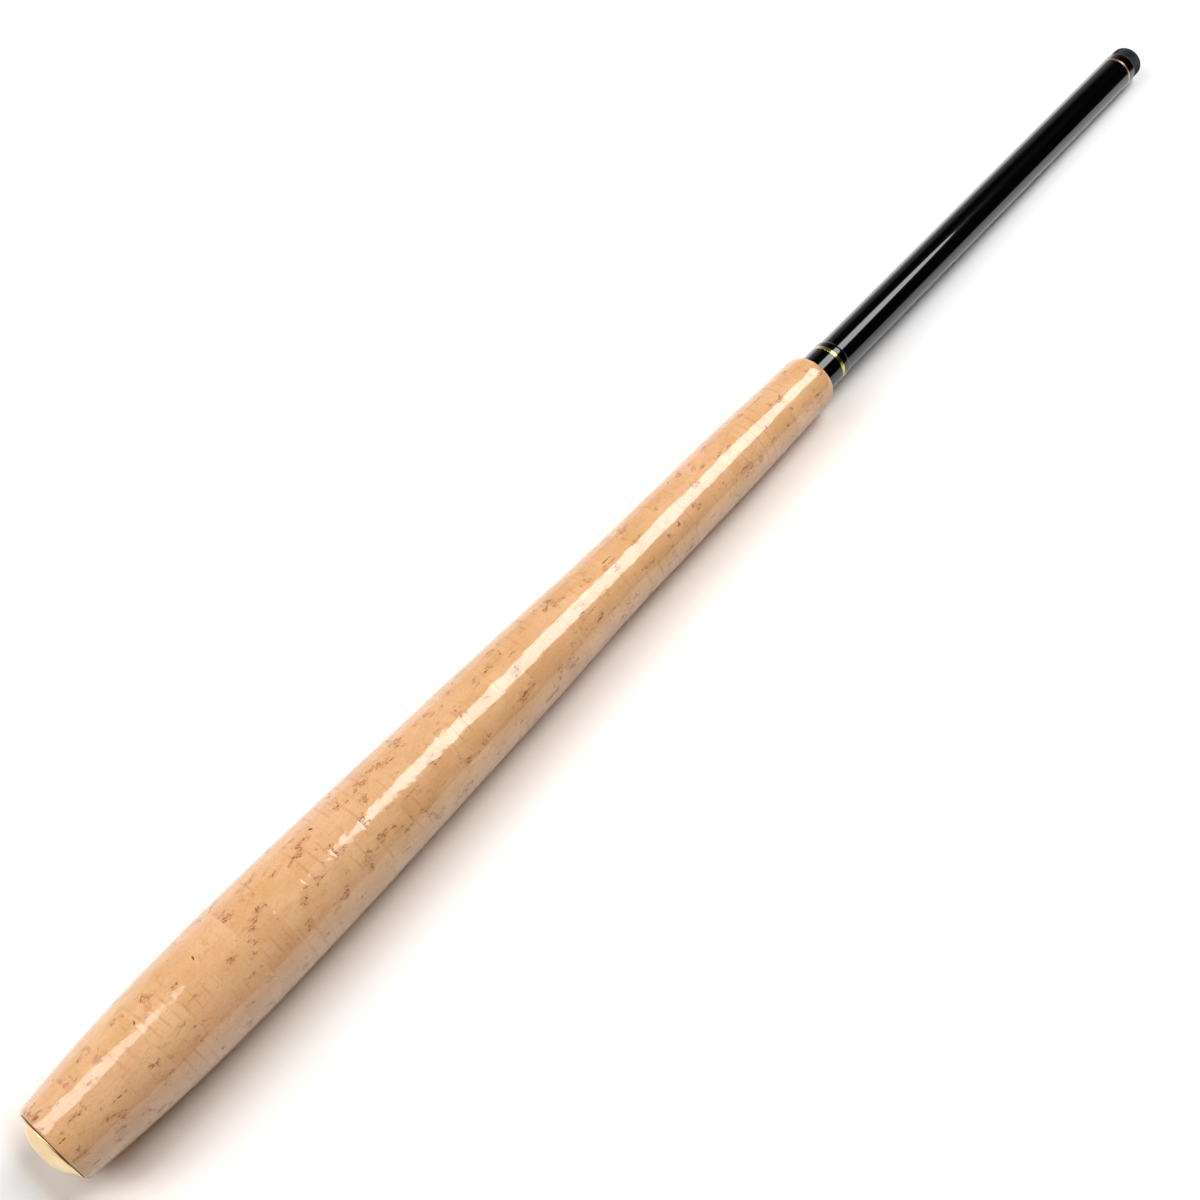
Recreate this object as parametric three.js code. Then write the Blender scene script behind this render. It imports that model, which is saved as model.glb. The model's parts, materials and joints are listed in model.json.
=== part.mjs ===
// A closed telescopic rod for fishing with a fixed line, with a turned cork grip.
// Millimetres. The axis is X: the butt's end face is at zero, and the tip points along +X.
// Every round is revolved with flat facets, and a radius is measured to the flats, so that
// coaxial pieces keep their clearance and a true round of the same radius fits inside.
import * as THREE from 'three';

// Facets of the rounds. Counts divisible by four put a flat underneath.
const roundSides = 28;
const knurlTeeth = 30;
const roundedEdgeSteps = 3;
const domeSteps = 6;
const shoulderSteps = 6;
const sealSides = 6;

// Fits
const seatGap = 0.15;
const glueLine = 0.04;
const fitClearance = 0.02;
const threadClearance = 0.1;
const restGap = 0.3;

// Cork grip, glued up from rings
const ringCount = 30;
const ringLength = 10.67;
const gripRadius = 15.55;
const gripButtEdge = 0.6;
const shoulderLength = 2.8;
const shoulderStep = 1.05;
const outlineStationShares = [
  0, 0.035, 0.081, 0.127, 0.182, 0.304, 0.435, 0.567, 0.668, 0.759, 0.86, 0.952, 1,
];
const outlineRadiusShares = [
  0.768, 0.855, 0.935, 0.98, 1, 0.974, 0.9, 0.817, 0.735, 0.711, 0.688, 0.635, 0.606,
];

// Blank: the handle section and the wall and taper of the tubes nested in it.
// The taper is the loss of radius for each unit of length.
const handleLength = 522.3;
const mouthRadius = 6.45;
const handleWall = 0.9;
const taper = 0.0006;
const innerWall = 0.5;
const innerWallShares = [1, 0.9, 0.8, 0.7, 0.64, 0.6, 1];
const jamLength = 55;
const jamLengthShares = [1, 0.91, 0.84, 0.76, 0.69, 0.64, 0.55];
const frontStagger = 0.3;
const tubeEdge = 0.15;
const tipEndRadius = 0.4;
const tipEndLength = 8;

// Butt cap, its seal and its pad. The rim is a thin flange round the dome. Both lie inside the end
// of the cork by their insets.
const domeInset = 1.3;
const capRimInset = 0.15;
const capFlatRadius = 3;
const domeHeight = 3.1;
const capRimLength = 0.45;
const spigotLength = 9.2;
const spigotEdge = 0.4;
const spigotWall = 2.1;
const capRecessDepth = 5;
const padInset = 0.8;
const padThickness = 2;
const sealThickness = 1.2;

// Butt bush. The end of the blank rests on its shelf.
const bushWall = 1.15;
const bushShelf = 0.2;
const bushSocketDepth = 8;
const bushRingCount = 2;

// Winding collar and the two bands
const collarLength = 11.85;
const collarWall = 0.34;
const collarLipLength = 1.2;
const collarLipDrop = 0.25;
const bandDepth = 0.2;
const collarBandWidth = 1.4;
const collarBandSetback = 3.46;
const mouthBandWidth = 0.9;
const mouthBandSetback = 4.1;

// Tip plug. The insets are the steps down from the blank to the head, and from its bore to the stem.
const plugHeadLength = 6;
const plugInset = 0.4;
const plugRimRound = 1.3;
const plugBackRound = 0.35;
const knurlDepth = 0.16;
const plugStemLength = 13;
const plugStemInset = 0.5;
const plugStemWall = 1.65;
const plugRibCount = 3;
const plugRibWidth = 2;
const plugRibClearance = 0.06;
const plugHollowDepth = 9;

// Places along the axis that several pieces share
const capHeight = domeHeight + capRimLength;
const gripStart = capHeight + seatGap;
const gripLength = ringCount * ringLength;
const gripEnd = gripStart + gripLength;
const mouth = gripStart + handleLength;
const spigotEnd = capHeight + spigotLength;
const padStart = spigotEnd + seatGap / 2;
const nestStart = padStart + padThickness + restGap;
const bushStart = capHeight + sealThickness + 2 * seatGap;
const bushEnd = gripStart + bushRingCount * ringLength - restGap;
const tubeStart = bushEnd - bushSocketDepth;
const collarStart = gripEnd + glueLine;
const collarEnd = collarStart + collarLength;
const plugStart = mouth + seatGap / 2;
const stemEnd = plugStart - plugStemLength;

// Radii that follow from the blank and the grip
const mouthBore = mouthRadius - handleWall;
const bushSocket = tubeRadiusAt(tubeStart) + glueLine;
const threadBore = bushSocket - bushShelf;
const bushRadius = Math.max(bushSocket + bushWall, threadBore + sealThickness + seatGap);
const spigotRadius = threadBore - threadClearance;
const capRecessRadius = spigotRadius - spigotWall;
const padRadius = spigotRadius - padInset;
const gripButtRadius = gripRadius * outlineRadiusShares[0] - gripButtEdge;
const domeRadius = gripButtRadius - domeInset;
const capRimRadius = gripButtRadius - capRimInset;
const collarRadius = tubeRadiusAt(collarStart) + glueLine + collarWall;
const shoulderEndRadius = collarRadius + shoulderStep;
const plugRadius = mouthRadius - plugInset;
const plugStemRadius = mouthBore - plugStemInset;
const plugHollowRadius = plugStemRadius - plugStemWall;

const cork = { color: 0xe0aa7d, roughness: 0.35, metalness: 0 };
const blackLacquer = { color: 0x0b0b0d, roughness: 0.12, metalness: 0 };
const paleGold = { color: 0xe6cd96, roughness: 0.3, metalness: 1 };
const yellowGold = { color: 0xcdbb4a, roughness: 0.25, metalness: 1 };
const copperGold = { color: 0xdcaa82, roughness: 0.25, metalness: 1 };
const bareAluminium = { color: 0xb4b8bc, roughness: 0.4, metalness: 1 };
const mouldedPlug = { color: 0x282d2a, roughness: 0.7, metalness: 0 };
const softRubber = { color: 0x1c1c1c, roughness: 0.9, metalness: 0 };

// A point of an outline: its place along the axis and its radius.
function at(x, radius) {
  return new THREE.Vector2(x, radius);
}

// A quarter of an ellipse between two points. It leaves the first along the axis,
// or, if steep is set, at right angles to the axis.
function roundBetween(from, to, steps, steep = false) {
  const points = [];
  for (let step = 0; step <= steps; step++) {
    const angle = (step / steps) * Math.PI / 2;
    const alongShare = steep ? 1 - Math.cos(angle) : Math.sin(angle);
    const acrossShare = steep ? Math.sin(angle) : 1 - Math.cos(angle);
    points.push(at(
      THREE.MathUtils.lerp(from.x, to.x, alongShare),
      THREE.MathUtils.lerp(from.y, to.y, acrossShare),
    ));
  }
  return points;
}

// Revolves an outline about the X axis. The outline runs towards the tip on its outside.
function revolve(outline, sides = roundSides) {
  const flatToCorner = 1 / Math.cos(Math.PI / sides);
  const meridian = outline.map((point) => new THREE.Vector2(point.y * flatToCorner, point.x));
  const geometry = new THREE.LatheGeometry(meridian, sides, Math.PI / sides);
  return geometry.rotateZ(-Math.PI / 2);
}

// Revolves an outline that goes round a bore and comes back to its first point.
function revolveRing(outline, sides = roundSides) {
  return revolve([...outline, outline[0]], sides);
}

function part(name, geometry, finish) {
  const mesh = new THREE.Mesh(geometry, new THREE.MeshStandardMaterial(finish));
  mesh.name = name;
  return mesh;
}

// Outer radius of the handle section.
function tubeRadiusAt(x) {
  return mouthRadius + taper * (mouth - x);
}

const gripOutline = new THREE.CubicInterpolant(outlineStationShares, outlineRadiusShares, 1);

// Outer radius of the grip, with its edge at the butt and its rounded front shoulder.
function gripRadiusAt(x) {
  const swell = gripRadius * gripOutline.evaluate((x - gripStart) / gripLength)[0];
  const intoEdge = 1 - (x - gripStart) / gripButtEdge;
  if (intoEdge > 0) {
    return swell - gripButtEdge * (1 - Math.sqrt(1 - intoEdge ** 2));
  }
  const intoShoulder = 1 - (gripEnd - x) / shoulderLength;
  if (intoShoulder > 0) {
    return THREE.MathUtils.lerp(shoulderEndRadius, swell, Math.sqrt(Math.max(0, 1 - intoShoulder ** 2)));
  }
  return swell;
}

// Stations of the rounded edge at the butt and of the shoulder in front.
function roundedStations() {
  const edge = roundBetween(at(gripStart, 0), at(gripStart + gripButtEdge, 1), roundedEdgeSteps, true);
  const shoulder = roundBetween(at(gripEnd - shoulderLength, 0), at(gripEnd, 1), shoulderSteps);
  return [...edge, ...shoulder].map((point) => point.x);
}

// Places where the outside of one ring changes direction. None lies within a glue line of a joint.
function ringStations(from, to) {
  const between = roundedStations().filter((x) => x > from + glueLine && x < to - glueLine);
  return [from, ...between, to];
}

// The first rings are bored for the bush, the others for the tapered tube.
function corkRing(index) {
  const from = gripStart + index * ringLength;
  const to = index === ringCount - 1 ? gripEnd : from + ringLength - glueLine;
  const boreAt = (x) => glueLine + (index < bushRingCount ? bushRadius : tubeRadiusAt(x));
  const outside = ringStations(from, to).map((x) => at(x, gripRadiusAt(x)));
  return revolveRing([at(from, boreAt(from)), ...outside, at(to, boreAt(to))]);
}

// Tube of the handle section, with the shallow seat of the band behind its mouth.
function handleSection() {
  const bandEnd = mouth - mouthBandSetback + mouthBandWidth / 2;
  const bandStart = bandEnd - mouthBandWidth;
  const boreAt = (x) => tubeRadiusAt(x) - handleWall;
  return revolveRing([
    at(tubeStart, boreAt(tubeStart)),
    at(tubeStart, tubeRadiusAt(tubeStart)),
    at(bandStart, tubeRadiusAt(bandStart)),
    at(bandStart, tubeRadiusAt(bandStart) - bandDepth),
    at(bandEnd, tubeRadiusAt(bandEnd) - bandDepth),
    at(bandEnd, tubeRadiusAt(bandEnd)),
    ...roundBetween(at(mouth - 2 * tubeEdge, mouthRadius), at(mouth, mouthRadius - 2 * tubeEdge), 2),
    at(mouth, mouthBore),
  ]);
}

// A band that fills its seat flush with the surface around it.
function band(start, width, surfaceAt) {
  const from = start + glueLine / 2;
  const to = start + width - glueLine / 2;
  const insideAt = (x) => surfaceAt(x) - bandDepth + glueLine;
  return revolveRing([
    at(from, insideAt(from)),
    at(from, surfaceAt(from)),
    at(to, surfaceAt(to)),
    at(to, insideAt(to)),
  ]);
}

function mouthBand() {
  const start = mouth - mouthBandSetback - mouthBandWidth / 2;
  return band(start, mouthBandWidth, tubeRadiusAt);
}

function collarBandStart() {
  return collarEnd - collarBandSetback - collarBandWidth / 2;
}

function collarBand() {
  return band(collarBandStart(), collarBandWidth, () => collarRadius);
}

// Collar that closes the gap between the cork and the blank, with a thin rounded lip in front.
function windingCollar() {
  const boreAt = (x) => tubeRadiusAt(x) + glueLine;
  const bandStart = collarBandStart();
  const bandEnd = bandStart + collarBandWidth;
  const lipBack = at(collarEnd - collarLipLength, collarRadius);
  const lipFront = at(collarEnd, collarRadius - collarLipDrop);
  return revolveRing([
    at(collarStart, boreAt(collarStart)),
    at(collarStart, collarRadius),
    at(bandStart, collarRadius),
    at(bandStart, collarRadius - bandDepth),
    at(bandEnd, collarRadius - bandDepth),
    at(bandEnd, collarRadius),
    ...roundBetween(lipBack, lipFront, roundedEdgeSteps),
    at(collarEnd, boreAt(collarEnd)),
  ]);
}

// Bush glued round the end of the blank. The cap screws into its open end.
function buttBush() {
  const socketAt = (x) => tubeRadiusAt(x) + glueLine;
  const shelf = tubeStart - glueLine;
  return revolveRing([
    at(bushStart + spigotEdge, threadBore),
    at(bushStart, threadBore + spigotEdge),
    at(bushStart, bushRadius),
    at(bushEnd, bushRadius),
    at(bushEnd, socketAt(bushEnd)),
    at(shelf, socketAt(shelf)),
    at(shelf, threadBore),
  ]);
}

// Low dome with a small flat at its top and a thin rim round it, on a hollow spigot.
function buttCap() {
  const centre = (domeHeight ** 2 + domeRadius ** 2 - capFlatRadius ** 2) / (2 * domeHeight);
  const sphere = Math.hypot(centre, capFlatRadius);
  const startAngle = Math.PI - Math.asin(capFlatRadius / sphere);
  const endAngle = Math.PI - Math.asin(domeRadius / sphere);
  const dome = new THREE.EllipseCurve(centre, 0, sphere, sphere, startAngle, endAngle, true);
  const recessFloor = spigotEnd - capRecessDepth;
  return revolve([
    at(0, 0),
    ...dome.getPoints(domeSteps),
    at(domeHeight, capRimRadius),
    at(capHeight, capRimRadius),
    at(capHeight, spigotRadius),
    at(spigotEnd - spigotEdge, spigotRadius),
    at(spigotEnd, spigotRadius - spigotEdge),
    at(spigotEnd, capRecessRadius),
    at(recessFloor, capRecessRadius),
    at(recessFloor, 0),
  ]);
}

// Soft pad: a stem pressed into the cap, and a disc that the nested sections rest on.
function capPad() {
  const stemStart = spigotEnd - capRecessDepth + seatGap / 2;
  const stemRadius = capRecessRadius - glueLine;
  const padEnd = padStart + padThickness;
  return revolve([
    at(stemStart, 0),
    at(stemStart, stemRadius),
    at(padStart, stemRadius),
    at(padStart, padRadius),
    at(padEnd, padRadius),
    at(padEnd, 0),
  ]);
}

// Seal ring round the root of the spigot, between the cap and the bush.
function sealRing() {
  const centreX = capHeight + seatGap + sealThickness / 2;
  const centreRadius = threadBore + sealThickness / 2;
  const points = [];
  for (let side = 0; side < sealSides; side++) {
    const angle = -2 * Math.PI * side / sealSides;
    points.push(at(
      centreX + Math.cos(angle) * sealThickness / 2,
      centreRadius + Math.sin(angle) * sealThickness / 2,
    ));
  }
  return revolveRing(points);
}

// Sizes of the nested sections, from the largest to the tip. Each is as wide at its butt as
// the mouth that it jams in when it is drawn out, less the clearance.
function nestedSections() {
  const firstLength = stemEnd - restGap - frontStagger * (innerWallShares.length - 1) - nestStart;
  const sections = [];
  let carrierBore = mouthBore;
  for (let index = 0; index < innerWallShares.length; index++) {
    const jam = jamLength * jamLengthShares[index];
    const length = firstLength + frontStagger * index;
    const buttRadius = carrierBore + taper * jam - fitClearance;
    const frontRadius = buttRadius - taper * length;
    const wall = innerWall * innerWallShares[index];
    sections.push({ jam, length, buttRadius, frontRadius, wall });
    carrierBore = frontRadius - wall;
  }
  return sections;
}

// Tapered tube with broken edges.
function nestedTube({ length, buttRadius, frontRadius, wall }) {
  const front = nestStart + length;
  return revolveRing([
    at(nestStart, buttRadius - wall),
    at(nestStart, buttRadius - tubeEdge),
    at(nestStart + tubeEdge, buttRadius),
    at(front - tubeEdge, frontRadius),
    at(front, frontRadius - tubeEdge),
    at(front, frontRadius - wall),
  ]);
}

// Solid tip: it keeps the others' taper where it jams, then thins down to where the line is tied.
function tipSection({ jam, length, buttRadius }) {
  const front = nestStart + length;
  return revolve([
    at(nestStart, 0),
    at(nestStart, buttRadius),
    at(nestStart + jam, buttRadius - taper * jam),
    at(front - tipEndLength, tipEndRadius),
    at(front, tipEndRadius),
    at(front, 0),
  ]);
}

// Ribs round the plug's stem, which hold it in the mouth.
function stemRibs() {
  const ribRadius = mouthBore - plugRibClearance;
  const pitch = plugStemLength / (plugRibCount + 1);
  const points = [];
  for (let rib = 1; rib <= plugRibCount; rib++) {
    const centre = stemEnd + rib * pitch;
    points.push(at(centre - plugRibWidth / 2, plugStemRadius));
    points.push(at(centre, ribRadius));
    points.push(at(centre + plugRibWidth / 2, plugStemRadius));
  }
  return points;
}

// Presses the valleys of a straight knurl into every second line of a revolved head.
function pressKnurl(geometry, pointCount, from, to) {
  const position = geometry.getAttribute('position');
  for (let index = 0; index < position.count; index++) {
    const x = position.getX(index);
    const valley = Math.floor(index / pointCount) % 2 === 1;
    const radius = Math.hypot(position.getY(index), position.getZ(index));
    if (valley && x > from && x < to && radius > plugRadius) {
      const pressed = (radius - knurlDepth) / radius;
      position.setY(index, position.getY(index) * pressed);
      position.setZ(index, position.getZ(index) * pressed);
    }
  }
  return geometry;
}

// Plug that closes the mouth: a ribbed hollow stem and a knurled head with a rounded rim.
function tipPlug() {
  const headEnd = plugStart + plugHeadLength;
  const knurlStart = plugStart + plugBackRound;
  const knurlEnd = headEnd - plugRimRound;
  const hollowFloor = stemEnd + plugHollowDepth;
  const outlinePoints = [
    at(hollowFloor, 0),
    at(hollowFloor, plugHollowRadius),
    at(stemEnd, plugHollowRadius),
    at(stemEnd, plugStemRadius),
    ...stemRibs(),
    at(plugStart, plugStemRadius),
    at(plugStart, plugRadius - plugBackRound),
    at(knurlStart, plugRadius),
    at(knurlStart + plugBackRound, plugRadius),
    at(knurlEnd - plugBackRound, plugRadius),
    ...roundBetween(at(knurlEnd, plugRadius), at(headEnd, plugRadius - plugRimRound), roundedEdgeSteps),
    at(headEnd, 0),
  ];
  const geometry = revolve(outlinePoints, 2 * knurlTeeth);
  return pressKnurl(geometry, outlinePoints.length, knurlStart, knurlEnd);
}

const rod = new THREE.Group();

const handle = new THREE.Group();
handle.add(part('handle_section', handleSection(), blackLacquer));
handle.add(part('mouth_band', mouthBand(), copperGold));
handle.add(part('winding_collar', windingCollar(), blackLacquer));
handle.add(part('collar_band', collarBand(), yellowGold));
handle.add(part('butt_bush', buttBush(), bareAluminium));
for (let index = 0; index < ringCount; index++) {
  const number = String(index + 1).padStart(2, '0');
  handle.add(part(`cork_ring_${number}`, corkRing(index), cork));
}
rod.add(handle);

const cap = new THREE.Group();
cap.add(part('butt_cap', buttCap(), paleGold));
cap.add(part('cap_pad', capPad(), softRubber));
cap.add(part('seal_ring', sealRing(), softRubber));
rod.add(cap);

const nest = new THREE.Group();
const sections = nestedSections();
const tip = sections.pop();
sections.forEach((section, index) => {
  nest.add(part(`section_${sections.length + 1 - index}`, nestedTube(section), blackLacquer));
});
nest.add(part('tip_section', tipSection(tip), blackLacquer));
rod.add(nest);

rod.add(part('tip_plug', tipPlug(), mouldedPlug));

export default rod;
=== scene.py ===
import json
import math
import random

import bmesh
import bpy
from mathutils import Matrix, Vector, noise


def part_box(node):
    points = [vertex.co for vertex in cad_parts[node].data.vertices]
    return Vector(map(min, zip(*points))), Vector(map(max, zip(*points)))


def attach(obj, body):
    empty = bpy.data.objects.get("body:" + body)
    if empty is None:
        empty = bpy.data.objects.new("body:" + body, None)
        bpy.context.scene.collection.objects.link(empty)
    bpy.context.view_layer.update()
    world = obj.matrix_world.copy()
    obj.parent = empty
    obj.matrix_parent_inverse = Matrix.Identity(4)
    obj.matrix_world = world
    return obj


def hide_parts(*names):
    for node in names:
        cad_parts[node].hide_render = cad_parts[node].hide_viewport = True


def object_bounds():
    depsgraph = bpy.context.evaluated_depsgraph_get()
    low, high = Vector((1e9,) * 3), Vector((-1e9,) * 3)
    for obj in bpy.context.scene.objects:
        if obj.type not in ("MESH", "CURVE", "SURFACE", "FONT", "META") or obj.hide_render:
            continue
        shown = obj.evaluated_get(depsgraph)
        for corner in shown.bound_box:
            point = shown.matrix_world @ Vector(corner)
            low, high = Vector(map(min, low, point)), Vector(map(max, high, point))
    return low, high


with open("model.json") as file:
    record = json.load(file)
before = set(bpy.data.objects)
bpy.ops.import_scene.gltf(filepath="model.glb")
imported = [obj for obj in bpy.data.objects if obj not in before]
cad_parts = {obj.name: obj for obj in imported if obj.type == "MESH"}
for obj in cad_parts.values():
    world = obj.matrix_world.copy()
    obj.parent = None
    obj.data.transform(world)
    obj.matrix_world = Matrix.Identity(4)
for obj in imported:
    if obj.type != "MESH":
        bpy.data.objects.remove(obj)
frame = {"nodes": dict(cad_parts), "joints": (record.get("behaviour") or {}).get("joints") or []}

MM = 0.001
CAD_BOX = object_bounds()

# The photograph's camera: a lens for a 36 mm sensor, the angle below the horizon, the heading of
# the view over the floor, and the place of the axis at the cork's butt end: its depth, and how far
# right and up it lies, in shares of the depth
LENS = 47.07
SENSOR = 36.0
CLIP_START = 0.01
PITCH = math.radians(57.367)
HEADING = Vector((0.7689, 0.6394, 0)).normalized()
BUTT_DEPTH = 0.3862
BUTT_SHARES = (-0.3483, -0.3477)

# Facets round the axis, here and in the CAD
CORK_SIDES = 144
ROUND_SIDES = 96
THREAD_SIDES = 90
SECTION_SIDES = 72
TIP_SIDES = 40
CAD_SIDES = 28
CAD_PLUG_SIDES = 60

# The angle from which an edge is sharp, and the distance under which two measures are the same
SHARP_ANGLE = math.radians(42)
SAME = 0.004 * MM

# Fillets. A round may reach over FILLET_ROOM of the shorter side beside it. The points that hold
# it are HOLD_REACH times its reach from the corner, and at most HOLD_ROOM times the longest reach.
FILLET_STEPS = 4
FILLET_ROOM = 0.45
HOLD_REACH = 1.8
HOLD_ROOM = 1.1

# Shape of the cork. The wave is a slow unevenness, lowered so that it stays inside the CAD's box.
# The bores in front of the bush are left true.
CORK_STEP = 1.1 * MM
GLUE_FILL = 0.018 * MM
JOINT_BEVEL = 0.07 * MM
JOINT_CLEAR = JOINT_BEVEL * 1.5
JOINT_DROP = 0.004 * MM
CORK_WAVE = 0.05 * MM
CORK_WAVE_SCALE = 95.0
CORK_WAVE_STRETCH = 0.6
CORK_WAVE_DROP = 0.9
CORK_BORE = 8.2 * MM
BUSH_ZONE = 20 * MM

# Each cork ring has a place of its own in the pattern, and its own share of the darker tone
RING_SEED = 7
RING_SHIFT = 2.0
RING_TONE = 0.15

# Colours of the cork, as written in a picture
CORK_LIGHT = (246, 196, 145)
CORK_DARK = (230, 174, 118)
CORK_PINK = (245, 190, 151)
CORK_TAN = (210, 150, 98)
CORK_KNOT = (208, 168, 128)
CORK_RIM = (170, 104, 56)
CORK_LINE = (186, 104, 48)
CORK_PORE = (136, 60, 14)

# Speckle: its length along and across the axis, its detail and its roughness
CORK_GRAIN = (0.8 * MM, 0.5 * MM, 3.0, 0.65)
CORK_RIDGE = (5 * MM, 2.2 * MM, 5.0, 0.62)
CORK_FILM = (6 * MM, 3.5 * MM, 2.5, 0.5)
LACQUER_PEEL = (4 * MM, 1.6 * MM, 2.0, 0.5)
CARBON_FIBRE = (9 * MM, 0.3 * MM, 4.0, 0.7)
METAL_MARKS = (0.12 * MM, 60 * MM, 3.0, 0.7)
TRIM_CLOUDS = (0.5 * MM, 0.35 * MM, 3.0, 0.7)

# Patches: speckle, and the levels of it where a patch begins and where it is full
CORK_CLOUDS = (16 * MM, 8 * MM, 4.0, 0.6, 0.25, 0.75)
CORK_BLUSH = (30 * MM, 14 * MM, 2.0, 0.5, 0.4, 0.75)
CORK_STREAKS = (7 * MM, 0.9 * MM, 4.0, 0.65, 0.5, 0.78)
GROWTH_PATCHES = (18 * MM, 11 * MM, 3.0, 0.6, 0.48, 0.66)
CRACK_PATCHES = (6 * MM, 4 * MM, 3.0, 0.6, 0.56, 0.66)
CORK_DOTS = (1.0 * MM, 0.8 * MM, 2.0, 0.6, 0.4, 0.55)
LACQUER_FLAKE = (0.5 * MM, 0.25 * MM, 2.0, 0.8, 0.6, 0.88)
LACQUER_SMEAR = (40 * MM, 5 * MM, 4.0, 0.6, 0.3, 0.8)
METAL_CLOUDS = (5 * MM, 5 * MM, 4.0, 0.6, 0.3, 0.7)
MOULDED_CLOUDS = (4 * MM, 4 * MM, 4.0, 0.6, 0.3, 0.7)

# Flecks: the length along and across the axis of the cells, the half width of a fleck in cells, the
# share of the cells with one, how ragged it is, and how far the cells are turned about the axis.
# Then, for all of them, the size in cells of the noise that makes them ragged, and the shares of
# the half width and of the chosen cells at which they are full.
CORK_KNOTS = (11 * MM, 8 * MM, 0.2, 0.22, 0.3, 1.3)
KNOT_HEARTS = (11 * MM, 8 * MM, 0.14, 0.22, 0.3, 1.3)
CORK_LENTICELS = (20 * MM, 1.2 * MM, 0.22, 0.15, 0.34, 0.0)
CORK_PITS = (6 * MM, 5 * MM, 0.13, 0.08, 0.9, 2.1)
CORK_SPECKS = (1.7 * MM, 1.2 * MM, 0.22, 0.16, 0.3, 0.4)
FLECK_WOBBLE = (0.3, 0.6)
FLECK_EDGE = 0.45
FLECK_CHOICE = 0.7

# Growth lines of the cork: their length along and across the axis, their waves, and the levels of
# these where a line begins and where it is full
GROWTH_SIZE = (11 * MM, 40 * MM)
GROWTH_WAVE = {"Scale": 1.0, "Distortion": 5.0, "Detail": 3.0}
GROWTH_LEVELS = (0.82, 0.99)

# Cracks run where the ridges cross their middle level, in patches turned about the axis. The dots
# break up a share of them.
CRACK_TURN = 0.8
CRACK_MIDDLE = 0.5
CRACK_WIDTH = (0.035, 0.008)
CRACK_BROKEN = 0.6

# Levels of the grain over which it darkens the cork, and over which it makes it rough. Its height
# in depths of a pore, and how far the film sinks into a pore, in heights of its own waves.
GRAIN_LEVELS = (0.45, 0.8)
GRAIN_ROUGH_LEVELS = (0.2, 0.8)
GRAIN_HEIGHT = 0.25
FILM_SINK = 0.08

# Levels over which the carbon's fibre shows, the metal's marks are rough and the trim turns pale
FIBRE_LEVELS = (0.3, 0.75)
MARK_LEVELS = (0.25, 0.8)
TRIM_LEVELS = (0.35, 0.7)

# Tape marks on the bare carbon, and the length of a wave in the wave texture's own coordinates
TAPE_SIZE = (1.2 * MM, 6 * MM)
TAPE_WAVE = {"Scale": 1.0, "Distortion": 1.5, "Detail": 2.0}
WAVE_LENGTH = 2 * math.pi / 20

# Blank, collar and bands
EDGE = 0.1 * MM
MOUTH_EDGE = 0.3 * MM
SEAT_EDGE = 0.03 * MM
BAND_EDGE = 0.05 * MM
LIP_STEPS = 10

# Butt cap and bush. The thread is right-handed, and its pitch is the cap's travel for a turn. The
# dome's blend is counted in radii of the CAD's flat face.
THREAD_PITCH = 1.0 * MM
THREAD_STEPS = 12
THREAD_ROOT = 6.25 * MM
THREAD_HEIGHT = 0.5 * MM
THREAD_CREST = THREAD_ROOT + THREAD_HEIGHT
THREAD_PLAY = 0.08 * MM
THREAD_RUN = 0.8 * MM
RELIEF_LENGTH = 1.65 * MM
RIM_EDGE = 0.18 * MM
RIM_FOOT = 0.1 * MM
DOME_STEPS = 14
DOME_BLEND = 1.7
SEAL_STEPS = 24

# Pad, with the rings that the sections wear into its face: depth, width and the shape of a ring, in
# points of the share of the depth and of the width inwards
PAD_EDGE = 0.2 * MM
PAD_WEAR = 0.05 * MM
PAD_RING = 0.32 * MM
PAD_RING_SHAPE = ((0, 0), (1, 0.3), (1, 0.7), (0, 1))

# Nested sections, from the largest to the tip
SECTION_NODES = ["section_%d" % number for number in range(7, 1, -1)] + ["tip_section"]
TUBE_EDGE = 0.12 * MM
GROUND_HIDDEN = 3.0 * MM
LACQUER_STEP = 0.2 * MM
TIP_ROUND_SHARE = 0.6

# Plug
STEM_EDGE = 0.3 * MM
RIB_STEPS = 8
RIM_STEPS = 8
KNURL_TEETH = 48
KNURL_STEPS = 6
KNURL_STATIONS = 24
KNURL_DEPTH = 0.36 * MM
KNURL_SHARPNESS = 1.4
KNURL_RUN = 0.35 * MM

# Floor and backdrop: distance and rise of their rings
BACKDROP = ((9.0, 0.0), (10.0, 0.3), (10.6, 1.2), (10.8, 2.6), (10.9, 4.6), (11.0, 8.0))
BACKDROP_SIDES = 64

# Colours of the floor: as the camera sees it, the same beside the grip with a painted warm bounce
# from the cork, as it lights the rod, and of its glow
FLOOR_SEEN = (0.95, 0.95, 0.95, 1)
PAINTED_BOUNCE_TINT = (0.96, 0.885, 0.83, 1)
FLOOR_BOUNCE = (0.72, 0.72, 0.72, 1)
WHITE = (1, 1, 1, 1)

# Strength of the floor's glow, of what is added to it far out, and of its shine in reflections
FLOOR_GLOW = 0.14
FAR_GLOW = 0.9
FLOOR_SHINE = 0.45

# Distances from the rod's axis over which the floor loses its painted warm bounce from the cork,
# gets its glow (left out closer in: a painted contact shadow) and gets its far glow, how much
# faster that goes behind the butt, and places along the axis where the painted bounce ends
PAINTED_BOUNCE_REACH = (0.016, 0.042)
PAINTED_CONTACT_SHADE = (0.014, 0.03)
FAR = (0.1, 0.6)
BEHIND = 4.0
PAINTED_BOUNCE_END = (0.31, 0.38)

# Height and place across the axis over which the backdrop shines in reflections
SHINE_TOP = (8.0, 0.6)
SHINE_FRONT = (-4.5, -0.8)

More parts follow.
